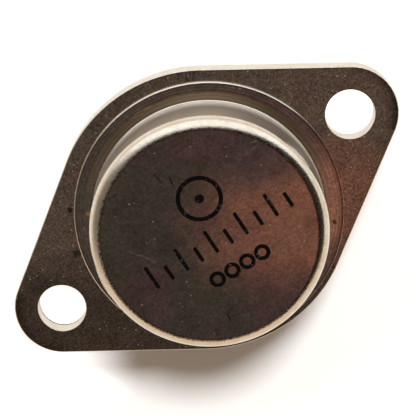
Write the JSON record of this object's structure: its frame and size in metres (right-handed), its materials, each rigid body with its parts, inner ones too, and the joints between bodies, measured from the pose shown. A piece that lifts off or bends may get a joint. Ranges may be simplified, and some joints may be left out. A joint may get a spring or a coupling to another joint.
{
  "type": "voltage regulator",
  "caption": "Voltage regulator in a steel can: a round drawn cap welded to a diamond-shaped flange with mounting holes, glass-sealed leads and the die sealed inside.",
  "frame": {"origin": "middle of the flange's seating face, halfway between the mounting holes", "axes": "+Z along the cap, away from the seating face; +X through the mounting holes, towards the side that the leads are set to; the leads point down -Z"},
  "size_m": [0.0384, 0.025, 0.0196],
  "materials": {
    "flange_plating": "satin",
    "cap_plating": "satin",
    "lead_plating": "satin",
    "seal_glass": "gloss",
    "copper": "satin",
    "braze": "satin",
    "silicon": "gloss",
    "solder": "satin",
    "bond_wire": "satin"
  },
  "bodies": {
    "root": {"header_flange": "flange_plating", "cap": "cap_plating", "input_lead": "lead_plating", "output_lead": "lead_plating", "input_seal": "seal_glass", "output_seal": "seal_glass", "heat_spreader": "copper", "spreader_braze": "braze", "regulator_die": "silicon", "die_solder": "solder", "input_wire": "bond_wire", "output_wire": "bond_wire", "ground_wire": "bond_wire"}
  },
  "joints": []
}
